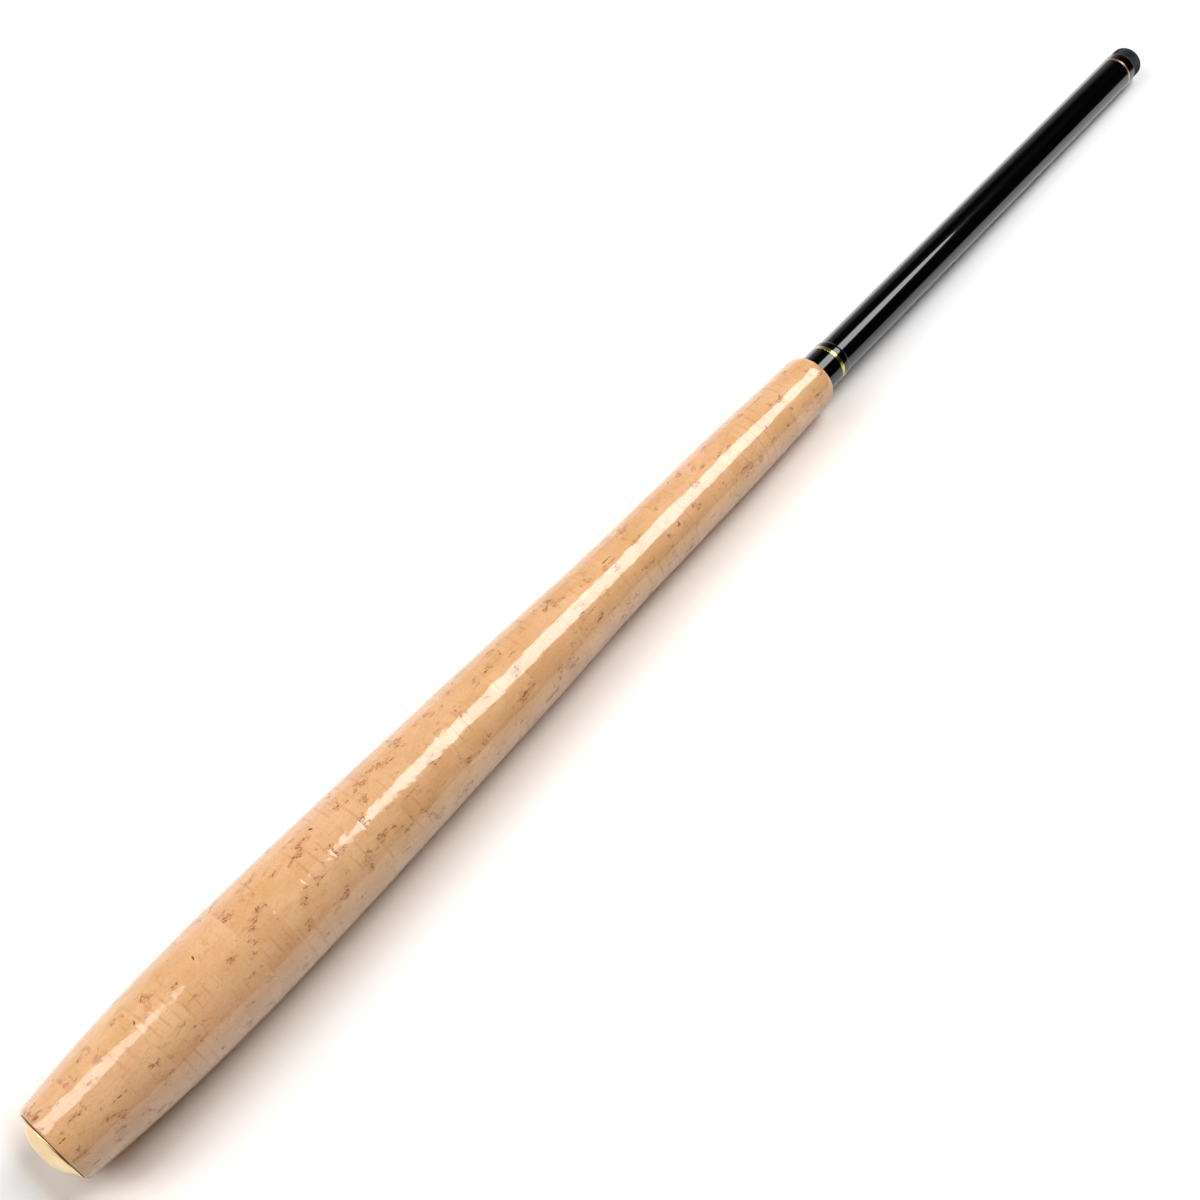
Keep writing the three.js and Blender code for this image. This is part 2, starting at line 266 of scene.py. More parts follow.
# Softboxes: centre, width and height, the point they face, radiance and roll in degrees. Then the
# strength of the dim room's light.
KEY_LIGHT = ((0.785, -0.131, 1.03), (0.88, 0.72), (0.3, 0, 0), 7.5, 0.0)
FILL_LIGHT = ((-0.537, 0.603, 1.0), (1.7, 0.69), (0.1, 0, 0), 4.6, -25.6)
WORLD = 0.02


# Shapes

def stations(node, sides=CAD_SIDES):
    """Radii of a CAD node, measured to its flats, at each place along the axis."""
    found = {}
    for vertex in frame["nodes"][node].data.vertices:
        radius = math.hypot(vertex.co.y, vertex.co.z) * math.cos(math.pi / sides)
        radii = found.setdefault(round(vertex.co.x, 6), [])
        if all(abs(radius - other) > SAME for other in radii):
            radii.append(radius)
    return [(x, sorted(radii)) for x, radii in sorted(found.items())]


def outside(node):
    """Largest radius of a CAD node at each place along the axis."""
    return [(x, radii[-1]) for x, radii in stations(node)]


def inside(node):
    """Smallest radius of a CAD node at each place along the axis."""
    return [(x, radii[0]) for x, radii in stations(node)]


def filleted(points):
    """Rounds each corner that has a radius, and holds the round with a point on either side.

    A point is (x, radius from the axis) or (x, radius from the axis, radius of the round). The
    first and last points have each other for neighbours.
    """
    made = []
    for index, point in enumerate(points):
        corner = Vector(point[:2])
        if len(point) == 2:
            made.append(tuple(corner))
            continue
        before = Vector(points[index - 1][:2]) - corner
        after = Vector(points[(index + 1) % len(points)][:2]) - corner
        half = before.angle(after) / 2
        room = min(before.length, after.length) * FILLET_ROOM
        reach = min(point[2] / math.tan(half), room)
        radius = reach * math.tan(half)
        inwards = (before.normalized() + after.normalized()).normalized()
        middle = corner + inwards * radius / math.sin(half)
        start = corner + before.normalized() * reach - middle
        end = corner + after.normalized() * reach - middle
        hold = min(reach * HOLD_REACH, room * HOLD_ROOM)
        made.append(tuple(corner + before.normalized() * hold))
        for step in range(FILLET_STEPS + 1):
            share = step / FILLET_STEPS
            made.append(tuple(middle + start.slerp(end, share) * radius))
        made.append(tuple(corner + after.normalized() * hold))
    return made


def rounded_rim(start, end, radius, end_radius, steps):
    """A quarter of an ellipse from a side at one radius to a face at another."""
    made = []
    for step in range(1, steps + 1):
        turn = math.pi / 2 * step / steps
        drop = (radius - end_radius) * math.cos(turn)
        made.append((start + (end - start) * math.sin(turn), end_radius + drop))
    return made


def link(name, data):
    """A new object of the scene with this data."""
    made = bpy.data.objects.new(name, data)
    bpy.context.scene.collection.objects.link(made)
    return made


def to_mesh(name, builder):
    """A new mesh with what the builder holds."""
    mesh = bpy.data.meshes.new(name)
    builder.to_mesh(mesh)
    builder.free()
    return mesh


def lathe(name, outline, sides, closed=True, shape=None):
    """Turns an outline of (x, radius) points about the X axis, running towards the tip outside.

    shape(x, angle, radius) may change the radius round the axis, as a knurl or a thread does.
    """
    builder = bmesh.new()
    rings = []
    for x, radius in outline:
        if radius <= 0:
            rings.append([builder.verts.new((x, 0, 0))])
            continue
        ring = []
        for side in range(sides):
            angle = 2 * math.pi * side / sides
            r = shape(x, angle, radius) if shape else radius
            ring.append(builder.verts.new((x, r * math.cos(angle), r * math.sin(angle))))
        rings.append(ring)
    following = rings[1:] + rings[:1] if closed else rings[1:]
    for a, b in zip(rings, following):
        for side in range(sides):
            after = (side + 1) % sides
            corners = [a[side % len(a)], a[after % len(a)], b[after % len(b)], b[side % len(b)]]
            unique = list(dict.fromkeys(corners))
            if len(unique) > 2:
                builder.faces.new(unique)
    if builder.calc_volume(signed=True) < 0:
        raise ValueError(name + " is inside out")
    mesh = to_mesh(name, builder)
    mesh.shade_smooth()
    mesh.set_sharp_from_angle(angle=SHARP_ANGLE)
    return link(name, mesh)


def place(piece, body, node, material):
    """Gives a piece its material, parents it to its body and hides the CAD node that it stands for.
    """
    piece.data.materials.append(material)
    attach(piece, body)
    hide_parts(node)


# Nodes

def shader(name):
    """A new material, its node tree and the shader of its surface."""
    material = bpy.data.materials.new(name)
    material.use_nodes = True
    return material, material.node_tree, material.node_tree.nodes["Principled BSDF"]


def add(tree, kind, inputs=None, **settings):
    """A node with its settings, and its inputs given as numbers or as sockets to link."""
    node = tree.nodes.new("ShaderNode" + kind)
    for key, value in settings.items():
        setattr(node, key, value)
    for key, value in (inputs or {}).items():
        if isinstance(value, bpy.types.NodeSocket):
            tree.links.new(value, node.inputs[key])
        else:
            node.inputs[key].default_value = value
    return node


def calc(tree, operation, *values):
    """The result of a Math node, for numbers or sockets."""
    return add(tree, "Math", dict(enumerate(values)), operation=operation).outputs[0]


def fade(tree, value, low, high):
    """0 where the value is at low, 1 where it is at high, smooth between."""
    inputs = {"Value": value, "From Min": low, "From Max": high}
    return add(tree, "MapRange", inputs, interpolation_type="SMOOTHSTEP").outputs["Result"]


def mix(tree, factor, a, b):
    """Colour a where the factor is 0, colour b where it is 1."""
    return add(tree, "Mix", {0: factor, 6: a, 7: b}, data_type="RGBA").outputs[2]


def colour(red, green, blue):
    """A colour as written in a picture, 0 to 255, for a shader."""
    def linear(value):
        share = value / 255
        return share / 12.92 if share <= 0.04045 else ((share + 0.055) / 1.055) ** 2.4
    return (linear(red), linear(green), linear(blue), 1)


def grain_place(tree, along, across, shift=None, turn=0.0):
    """The piece's own coordinates, counted in lengths along and across the axis, in metres."""
    coordinates = add(tree, "TexCoord").outputs["Object"]
    if shift:
        moved = add(tree, "VectorMath", {0: coordinates, 1: shift}, operation="ADD")
        coordinates = moved.outputs[0]
    scale = (1 / along, 1 / across, 1 / across)
    inputs = {"Vector": coordinates, "Scale": scale, "Rotation": (turn, 0, 0)}
    return add(tree, "Mapping", inputs).outputs[0]


def speckle(tree, along, across, detail, roughness, shift=None, turn=0.0):
    """Noise round a middle level of 0.5, in the piece's own coordinates."""
    vector = grain_place(tree, along, across, shift, turn)
    inputs = {"Vector": vector, "Scale": 1.0, "Detail": detail, "Roughness": roughness}
    return add(tree, "TexNoise", inputs).outputs[0]


def patches(tree, along, across, detail, roughness, low, high, shift=None, turn=0.0):
    """Mask of soft patches, from speckle of this kind."""
    noisy = speckle(tree, along, across, detail, roughness, shift, turn)
    return fade(tree, noisy, low, high)


def flecks(tree, along, across, size, share, ragged, turn, shift):
    """Mask of scattered ragged flecks."""
    vector = grain_place(tree, along, across, shift, turn)
    fine = grain_place(tree, along * FLECK_WOBBLE[0], across * FLECK_WOBBLE[1], shift)
    wobble = add(tree, "TexNoise", {"Vector": fine, "Scale": 1.0, "Detail": 2.0}).outputs[1]
    inputs = {0: wobble, 1: (ragged,) * 3, 2: vector}
    bent = add(tree, "VectorMath", inputs, operation="MULTIPLY_ADD").outputs[0]
    cells = add(tree, "TexVoronoi", {"Vector": bent, "Scale": 1.0})
    lot = add(tree, "SeparateColor", {"Color": cells.outputs["Color"]}).outputs[0]
    near = fade(tree, cells.outputs["Distance"], size, size * FLECK_EDGE)
    chosen = fade(tree, lot, 1 - share, 1 - share * FLECK_CHOICE)
    return calc(tree, "MULTIPLY", near, chosen)


def paint(tree, base, layers):
    """Lays colours over a base. A layer is its mask, how strongly it covers, and its colour."""
    for mask, strength, shade in layers:
        base = mix(tree, calc(tree, "MULTIPLY", mask, strength), base, colour(*shade))
    return base


def two_tone(tree, surface, mask, deep, pale):
    """Base colour from deep, where the mask is 0, to pale, where it is 1."""
    base = mix(tree, mask, colour(*deep), colour(*pale))
    tree.links.new(base, surface.inputs["Base Color"])


def roughen(tree, surface, marks, middle, spread):
    """Roughness over a spread round its middle value, rising with the marks from 0 to 1."""
    rough = calc(tree, "MULTIPLY_ADD", marks, spread, middle - spread / 2)
    tree.links.new(rough, surface.inputs["Roughness"])


def emboss(tree, surface, height, strength, distance, normal="Normal"):
    """Relief in the surface, or in its coat when that is the normal named."""
    bump = add(tree, "Bump", {"Height": height, "Strength": strength, "Distance": distance})
    tree.links.new(bump.outputs[0], surface.inputs[normal])


def adjust(surface, values):
    """Sets inputs of a surface's shader by name."""
    for name, value in values.items():
        surface.inputs[name].default_value = value


# Materials

def cork_material():
    """Pale peach cork under a clear coat, with lenticels, cracks, pits and growth lines."""
    material, tree, surface = shader("cork")
    shift = add(tree, "Attribute", attribute_name="ring_shift").outputs["Vector"]
    tone = add(tree, "Attribute", attribute_name="ring_tone").outputs["Fac"]

    waves = {"Vector": grain_place(tree, *GROWTH_SIZE, shift), **GROWTH_WAVE}
    bands = add(tree, "TexWave", waves, bands_direction="X").outputs[1]
    growth = fade(tree, bands, *GROWTH_LEVELS)
    growth = calc(tree, "MULTIPLY", growth, patches(tree, *GROWTH_PATCHES, shift))

    dots = patches(tree, *CORK_DOTS, shift)
    lenticels = calc(tree, "MULTIPLY", flecks(tree, *CORK_LENTICELS, shift), dots)
    cracked = patches(tree, *CRACK_PATCHES, shift, CRACK_TURN)
    ridge = calc(tree, "SUBTRACT", speckle(tree, *CORK_RIDGE, shift), CRACK_MIDDLE)
    cracks = fade(tree, calc(tree, "ABSOLUTE", ridge), *CRACK_WIDTH)
    cracks = calc(tree, "MULTIPLY", cracks, cracked)
    broken = calc(tree, "MULTIPLY_ADD", dots, CRACK_BROKEN, 1 - CRACK_BROKEN)
    cracks = calc(tree, "MULTIPLY", cracks, broken)
    pits = flecks(tree, *CORK_PITS, shift)
    grain = speckle(tree, *CORK_GRAIN, shift)

    clouds = patches(tree, *CORK_CLOUDS, shift)
    base = mix(tree, clouds, colour(*CORK_DARK), colour(*CORK_LIGHT))
    base = paint(tree, base, (
        (patches(tree, *CORK_BLUSH), 0.5, CORK_PINK),
        (tone, 1.0, CORK_TAN),
        (patches(tree, *CORK_STREAKS, shift), 0.35, CORK_TAN),
        (flecks(tree, *CORK_KNOTS, shift), 0.5, CORK_RIM),
        (flecks(tree, *KNOT_HEARTS, shift), 0.9, CORK_KNOT),
        (growth, 0.26, CORK_LINE),
        (fade(tree, grain, *GRAIN_LEVELS), 0.3, CORK_LINE),
        (cracked, 0.45, CORK_TAN),
        (flecks(tree, *CORK_SPECKS, shift), 0.5, CORK_LINE),
        (lenticels, 0.95, CORK_PORE),
        (cracks, 0.9, CORK_PORE),
        (pits, 0.95, CORK_PORE),
    ))
    tree.links.new(base, surface.inputs["Base Color"])

    sunk = calc(tree, "MAXIMUM", calc(tree, "MAXIMUM", lenticels, cracks), pits)
    height = calc(tree, "MULTIPLY_ADD", sunk, -1.0, calc(tree, "MULTIPLY", grain, GRAIN_HEIGHT))
    emboss(tree, surface, height, strength=0.5, distance=0.1 * MM)
    film = calc(tree, "MULTIPLY_ADD", sunk, -FILM_SINK, speckle(tree, *CORK_FILM))
    emboss(tree, surface, film, strength=0.6, distance=0.26 * MM, normal="Coat Normal")
    roughen(tree, surface, fade(tree, grain, *GRAIN_ROUGH_LEVELS), middle=0.6, spread=0.2)
    adjust(surface, {
        "Specular IOR Level": 0.2,
        "Coat Weight": 1.0,
        "Coat Roughness": 0.1,
        "Coat IOR": 1.6,
    })
    return material


def lacquer_material():
    """Black lacquer over a trace of dark red flake, under a clear coat."""
    material, tree, surface = shader("black_lacquer")
    two_tone(tree, surface, patches(tree, *LACQUER_FLAKE), (1, 1, 1), (34, 12, 9))
    roughen(tree, surface, patches(tree, *LACQUER_SMEAR), middle=0.16, spread=0.06)
    peel = speckle(tree, *LACQUER_PEEL)
    emboss(tree, surface, peel, strength=0.1, distance=0.02 * MM, normal="Coat Normal")
    adjust(surface, {
        "Metallic": 0.85,
        "Coat Weight": 1.0,
        "Coat Roughness": 0.025,
        "Coat IOR": 1.46,
    })
    return material


def bare_carbon_material():
    """Ground carbon, with the spiral marks of the tape that it was wrapped in."""
    material, tree, surface = shader("bare_carbon")
    fibre = speckle(tree, *CARBON_FIBRE)
    two_tone(tree, surface, fade(tree, fibre, *FIBRE_LEVELS), (24, 24, 26), (58, 58, 62))
    roughen(tree, surface, fibre, middle=0.525, spread=0.25)
    tape = {"Vector": grain_place(tree, *TAPE_SIZE), **TAPE_WAVE}
    spiral = add(tree, "TexWave", tape, bands_direction="X").outputs[1]
    emboss(tree, surface, spiral, strength=0.3, distance=0.02 * MM)
    return material


def metal_material(name, pale, deep, roughness):
    """Turned metal: fine marks round the axis, cloudy wear and a slight shift of colour."""
    material, tree, surface = shader(name)
    two_tone(tree, surface, patches(tree, *METAL_CLOUDS), deep, pale)
    marks = speckle(tree, *METAL_MARKS)
    roughen(tree, surface, fade(tree, marks, *MARK_LEVELS), roughness, spread=0.14)
    emboss(tree, surface, marks, strength=0.12, distance=0.01 * MM)
    adjust(surface, {"Metallic": 1.0})
    return material


def trim_material(name, pale, deep, pitch, height, roughness):
    """Metallic trim under the lacquer, wound in fine turns side by side."""
    material, tree, surface = shader(name)
    clouds = speckle(tree, *TRIM_CLOUDS)
    two_tone(tree, surface, fade(tree, clouds, *TRIM_LEVELS), deep, pale)
    roughen(tree, surface, clouds, roughness, spread=0.2)
    wound = {"Vector": grain_place(tree, pitch / WAVE_LENGTH, 1.0), "Scale": 1.0}
    turns = add(tree, "TexWave", wound, bands_direction="X").outputs[1]
    emboss(tree, surface, turns, strength=1.0, distance=height)
    adjust(surface, {"Metallic": 1.0, "Coat Weight": 1.0, "Coat Roughness": 0.03})
    return material


def moulded_material(name, pale, deep, roughness, grain_size):
    """Moulded plastic or rubber with a fine matt grain."""
    material, tree, surface = shader(name)
    two_tone(tree, surface, patches(tree, *MOULDED_CLOUDS), deep, pale)
    grain = speckle(tree, grain_size, grain_size, detail=3.0, roughness=0.7)
    roughen(tree, surface, grain, roughness, spread=0.2)
    emboss(tree, surface, grain, strength=0.3, distance=0.03 * MM)
    return material


CORK = cork_material()
LACQUER = lacquer_material()
CARBON = bare_carbon_material()
PALE_GOLD = metal_material("pale_gold", (240, 214, 166), (226, 196, 144), roughness=0.36)
ALUMINIUM = metal_material("bare_aluminium", (190, 194, 198), (164, 168, 174), roughness=0.32)
YELLOW_GOLD = trim_material(
    "yellow_gold", (226, 210, 112), (178, 160, 54),
    pitch=0.34 * MM, height=0.03 * MM, roughness=0.15,
)
COPPER_GOLD = trim_material(
    "copper_gold", (226, 180, 144), (196, 150, 116),
    pitch=0.3 * MM, height=0.02 * MM, roughness=0.34,
)
PLUG = moulded_material(
    "plug_plastic", (20, 27, 25), (11, 15, 14), roughness=0.5, grain_size=0.3 * MM,
)
RUBBER = moulded_material(
    "soft_rubber", (34, 34, 34), (22, 22, 22), roughness=0.75, grain_size=0.25 * MM,
)


# Cork grip

def smooth_curve(points, step):
    """A dense curve through points, rounded as a centripetal spline."""
    ends = [points[0] * 2 - points[1]] + points + [points[-1] * 2 - points[-2]]
    made = []
    for a, b, c, d in zip(ends, ends[1:], ends[2:], ends[3:]):
        gaps = [max((q - p).length, 1e-9) ** 0.5 for p, q in ((a, b), (b, c), (c, d))]
        count = max(2, math.ceil((c - b).length / step))
        t = [0, gaps[0], gaps[0] + gaps[1], sum(gaps)]
        for index in range(count):
            u = t[1] + (t[2] - t[1]) * index / count
            ab = a.lerp(b, (u - t[0]) / (t[1] - t[0]))
            bc = b.lerp(c, (u - t[1]) / (t[2] - t[1]))
            cd = c.lerp(d, (u - t[2]) / (t[3] - t[2]))
            abc = ab.lerp(bc, (u - t[0]) / (t[2] - t[0]))
            bcd = bc.lerp(cd, (u - t[1]) / (t[3] - t[1]))
            made.append(abc.lerp(bcd, (u - t[1]) / (t[2] - t[1])))
    return made + [points[-1]]


def between(curve, x):
    """The curve's radius at x."""
    for a, b in zip(curve, curve[1:]):
        if a.x <= x <= b.x and b.x > a.x:
            return a.y + (b.y - a.y) * (x - a.x) / (b.x - a.x)
    return curve[0].y if x < curve[0].x else curve[-1].y


def cork_wave(x, angle, radius):
    """The grip isn't quite true: a slow unevenness that the gloss makes visible."""
    if radius < CORK_BORE and x > BUSH_ZONE:
        return radius
    spot = Vector((x * CORK_WAVE_STRETCH, radius * math.cos(angle), radius * math.sin(angle)))
    return radius + CORK_WAVE * (noise.noise(spot * CORK_WAVE_SCALE) - CORK_WAVE_DROP)


def cork_outline(name, curve, first, last):
    """A ring's outline: its part of the curve, a fine bevel at each glued joint, and its bore."""
    cad, bore = outside(name), inside(name)
    start = cad[0][0] - (0 if first else GLUE_FILL)
    end = cad[-1][0] + (0 if last else GLUE_FILL)
    head, tail = [(start, cad[0][1])], [(end, cad[-1][1])]
    if not first:
        bevel = start + JOINT_BEVEL
        head = [(start, between(curve, start) - JOINT_DROP), (bevel, between(curve, bevel))]
    if not last:
        bevel = end - JOINT_BEVEL
        tail = [(bevel, between(curve, bevel)), (end, between(curve, end) - JOINT_DROP)]
    low = start + (SAME if first else JOINT_CLEAR)
    high = end - (SAME if last else JOINT_CLEAR)
    middle = [(point.x, point.y) for point in curve if low < point.x < high]
    return head + middle + tail + [(end, bore[-1][1]), (start, bore[0][1])]


def cork_grip():
    """The cork rings, turned to one smooth curve, each with its own place in the pattern."""
    names = sorted(name for name in frame["nodes"] if name.startswith("cork_ring_"))
    joints = [Vector(point) for name in names for point in outside(name)[:-1]]
    curve = smooth_curve(joints + [Vector(outside(names[-1])[-1])], CORK_STEP)
    chance = random.Random(RING_SEED)
    for number, name in enumerate(names, 1):
        outline = cork_outline(name, curve, first=number == 1, last=number == len(names))
        ring = lathe("cork_%02d" % number, outline, CORK_SIDES, shape=cork_wave)
        count = len(ring.data.vertices)
        shift = ring.data.attributes.new("ring_shift", "FLOAT_VECTOR", "POINT")
        shift.data.foreach_set("vector", [chance.random() * RING_SHIFT for _ in range(3)] * count)
        tone = ring.data.attributes.new("ring_tone", "FLOAT", "POINT")
        tone.data.foreach_set("value", [chance.random() ** 2 * RING_TONE] * count)
        place(ring, "handle", name, CORK)


cork_grip()


# Blank, collar and bands

def blank():
    """The handle section, with the shallow seat of its band behind the mouth."""
    cad = stations("handle_section")
    (start, (butt_bore, butt_radius)), (back, (seat, radius)) = cad[:2]
    (front, _), (_, (end_radius,)) = cad[2:4]
    mouth, (mouth_bore, _) = cad[-1]
    outline = [
        (start, butt_bore, EDGE),
        (start, butt_radius, EDGE),
        (back, radius, SEAT_EDGE),
        (back, seat),
        (front, seat),
        (front, end_radius, SEAT_EDGE),
        (mouth, end_radius, MOUTH_EDGE),
        (mouth, mouth_bore, EDGE),
    ]
    piece = lathe("blank", filleted(outline), ROUND_SIDES)
    place(piece, "handle", "handle_section", LACQUER)


def winding_collar():
    """The collar in front of the cork, with the seat of its band and a softly rounded front lip."""
    cad = stations("winding_collar")
    (start, (bore, radius)), (back, (seat, _)), (front, _), (lip, _) = cad[:4]
    end, (end_bore, lip_radius) = cad[-1]
    outline = filleted([
        (start, bore),
        (start, radius, SEAT_EDGE),
        (back, radius, SEAT_EDGE),
        (back, seat),
        (front, seat),
        (front, radius, SEAT_EDGE),
        (lip, radius),
    ])
    outline += rounded_rim(lip, end, radius, lip_radius, LIP_STEPS)
    piece = lathe("collar", outline + [(end, end_bore)], ROUND_SIDES)
    place(piece, "handle", "winding_collar", LACQUER)


def band(name, node, material):
    """A metal band that fills its seat, with broken edges."""
    (start, (bore, radius)), (end, (_, end_radius)) = stations(node)
    outline = [
        (start, bore),
        (start, radius, BAND_EDGE),
        (end, end_radius, BAND_EDGE),
        (end, bore),
    ]
    place(lathe(name, filleted(outline), ROUND_SIDES), "handle", node, material)


blank()
winding_collar()
band("band_collar", "collar_band", YELLOW_GOLD)
band("band_mouth", "mouth_band", COPPER_GOLD)


# Butt cap, bush, seal and pad

def thread_radius(x, angle):
    """The cap's thread. While the cap turns and travels together, the thread keeps its place."""
    turns = x / THREAD_PITCH - angle / (2 * math.pi)
    return THREAD_ROOT + THREAD_HEIGHT * (0.5 + 0.5 * math.cos(2 * math.pi * turns))


def threaded_stations(start, end):
    """Places along a thread, on one grid for the cap and the bush."""
    step = THREAD_PITCH / THREAD_STEPS
    return [index * step for index in range(math.ceil(start / step), math.floor(end / step) + 1)]


def ramp(value, low, high):
    """0 up to low, 1 from high on, smooth between."""
    share = min(1, max(0, (value - low) / (high - low)))
    return share * share * (3 - 2 * share)


def dome(height, foot, flat):
    """Outline of the dome, from the axis to just before the radius of its foot.

    It is part of a sphere from the edge of the CAD's flat face to the foot. A parabola that starts
    level and meets the sphere at the same slope takes the place of the flat's edge.
    """
    centre = (height ** 2 + foot ** 2 - flat ** 2) / (2 * height)
    sphere = math.hypot(centre, flat)
    meet = flat * DOME_BLEND
    depth = centre - math.sqrt(sphere ** 2 - meet ** 2)
    level = meet - 2 * depth * (centre - depth) / meet
    made = [(0, 0), (0, level * 0.5), (0, level)]
    for step in range(1, DOME_STEPS):
        share = step / DOME_STEPS
        made.append((depth * share ** 2, level + (meet - level) * share))
    first, last = math.asin(meet / sphere), math.asin(foot / sphere)
    for step in range(DOME_STEPS):
        turn = first + (last - first) * step / DOME_STEPS
        made.append((centre - sphere * math.cos(turn), sphere * math.sin(turn)))
    return made


def butt_cap():
    """Low dome in a thin turned rim, and a hollow threaded spigot with a relief for the seal."""
    cad = stations("butt_cap")
    radius = max(radii[-1] for _, radii in cad)
    rim_start, rim_end = [x for x, radii in cad if radius - radii[-1] < SAME]
    foot, relief = [radii[0] for x, radii in cad if x in (rim_start, rim_end)]
    floor, (_, recess) = cad[-3]
    thread_end, spigot_end = cad[-2][0], cad[-1][0]
    thread_start = rim_end + RELIEF_LENGTH

    outline = dome(rim_start, foot, cad[0][1][-1])
    rim = [
        outline[-1],
        (rim_start, foot, RIM_FOOT),
        (rim_start, radius, RIM_EDGE),
        (rim_end, radius, RIM_EDGE),
        (rim_end, relief, EDGE),
        (thread_start, relief, EDGE),
        (thread_start + EDGE, THREAD_ROOT),
    ]
    end = [
        (thread_end, THREAD_ROOT),
        (spigot_end, THREAD_ROOT + thread_end - spigot_end, EDGE),
        (spigot_end, recess, EDGE),
        (floor, recess, EDGE),
        (floor, 0),
    ]
    turned = threaded_stations(thread_start + 2 * EDGE, thread_end - EDGE)
    outline += filleted(rim)[1:] + [(x, THREAD_CREST) for x in turned] + filleted(end)

    def shape(x, angle, r):
        if r != THREAD_CREST:
            return r
        run_in = ramp(x, thread_start, thread_start + THREAD_RUN)
        run_in *= ramp(-x, -thread_end, THREAD_RUN - thread_end)
        return THREAD_ROOT + (thread_radius(x, angle) - THREAD_ROOT) * run_in

    piece = lathe("cap", outline, THREAD_SIDES, closed=False, shape=shape)
    place(piece, "cap", "butt_cap", PALE_GOLD)


def butt_bush():
    """The bush in the first cork rings: the cap's thread inside, and a socket for the blank."""
    cad = stations("butt_bush")
    (start, (mouth, radius)), (_, (bore,)), (shelf, (_, socket)), (end, (end_socket, _)) = cad
    thread_end = shelf - THREAD_RUN * 2
    outline = [
        (shelf, bore),
        (start + (mouth - bore), bore),
        (start, mouth, EDGE),
        (start, radius, EDGE),
        (end, radius, EDGE),
        (end, end_socket, EDGE),
        (shelf, socket),
        (shelf, bore),
    ]
    turned = threaded_stations(start + EDGE, thread_end)
    outline = filleted(outline)[2:] + [(x, THREAD_CREST) for x in reversed(turned)]

    def shape(x, angle, r):
        if r != THREAD_CREST:
            return r
        cut = thread_radius(x, angle) + THREAD_PLAY
        cut += (bore - cut) * ramp(x, thread_end - THREAD_RUN, thread_end)
        return max(cut, mouth - (x - start))

    piece = lathe("bush", outline, THREAD_SIDES, shape=shape)
    place(piece, "handle", "butt_bush", ALUMINIUM)


def cap_pad():
    """Soft pad on a stem. The butts of the nested sections have left faint rings on its face."""
    (stem_start, (_, stem)), (back, (_, disc)), (face, _) = stations("cap_pad")
    outline = [
        (stem_start, 0),
        (stem_start, stem, PAD_EDGE),
        (back, stem),
        (back, disc, PAD_EDGE),
        (face, disc, PAD_EDGE),
        (face, 0),
    ]
    outline = filleted(outline)[:-1]
    for name in SECTION_NODES:
        edge = stations(name)[0][1][-1]
        for depth, inwards in PAD_RING_SHAPE:
            outline.append((face - PAD_WEAR * depth, edge - PAD_RING * inwards))
    piece = lathe("pad", outline + [(face, 0)], ROUND_SIDES, closed=False)
    place(piece, "cap", "cap_pad", RUBBER)


def seal_ring():
    """A round rubber ring in the relief behind the cap."""
    cad = stations("seal_ring")
    start, (middle,) = cad[0]
    radius = (cad[-1][0] - start) / 2
    outline = []
    for step in range(SEAL_STEPS):
        turn = 2 * math.pi * step / SEAL_STEPS
        x = start + radius - radius * math.cos(turn)
        outline.append((x, middle + radius * math.sin(turn)))
    piece = lathe("seal", outline, ROUND_SIDES)
    place(piece, "cap_seal", "seal_ring", RUBBER)


butt_cap()
butt_bush()
cap_pad()
seal_ring()


# Nested sections, tip and plug

def ground_end(body, carrier):
    """Where the bare ground part of a section ends: just inside the carrier when drawn out."""
    travel = [joint["range_m"][1] for joint in frame["joints"] if joint["child"] == body][0]
    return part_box(carrier)[1].x - travel - GROUND_HIDDEN


def grind(piece, end):
    """Gives a piece bare carbon up to a place along the axis."""
    piece.data.materials.append(CARBON)
    for face in piece.data.polygons:
        if face.center.x < end:
            face.material_index = 1


def section(node, carrier):
    """A tapered tube, bare where it jams in its carrier and lacquered in front of that."""
    cad = stations(node)
    start, (bore, _) = cad[0]
    end, (end_bore, *_) = cad[-1]
    radius, end_radius = cad[1][1][-1], cad[-2][1][-1]
    ground = ground_end(node, carrier)
    outline = filleted([
        (start, bore, TUBE_EDGE),
        (start, radius, TUBE_EDGE),
        (end, end_radius, TUBE_EDGE),
        (end, end_bore, TUBE_EDGE),
    ])
    lacquer_edge = []
    for x in (ground - LACQUER_STEP, ground):
        share = (x - start) / (end - start)
        lacquer_edge.append((x, radius + (end_radius - radius) * share))
    half = len(outline) // 2
    outline = outline[:half] + lacquer_edge + outline[half:]
    piece = lathe("tube_" + node[-1], outline, SECTION_SIDES)
    place(piece, node, node, LACQUER)
    grind(piece, ground - LACQUER_STEP / 2)


def tip_section(carrier):
    """The solid tip: bare where it jams, then a long fine taper to a blunt end."""
    cad = stations("tip_section")
    (start, (_, radius)), (jam, (jam_radius,)), (taper_end, _), (end, (_, end_radius)) = cad
    ground = ground_end("tip", carrier)
    share = (ground - start) / (jam - start)
    ground_radius = radius + (jam_radius - radius) * share
    outline = [
        (start, 0),
        (start, radius, TUBE_EDGE),
        (ground - LACQUER_STEP, ground_radius),
        (ground, ground_radius),
        (jam, jam_radius),
        (taper_end, end_radius),
        (end, end_radius, end_radius * TIP_ROUND_SHARE),
        (end, 0),
    ]
    piece = lathe("tip_rod", filleted(outline), TIP_SIDES, closed=False)
    place(piece, "tip", "tip_section", LACQUER)
    grind(piece, ground - LACQUER_STEP / 2)


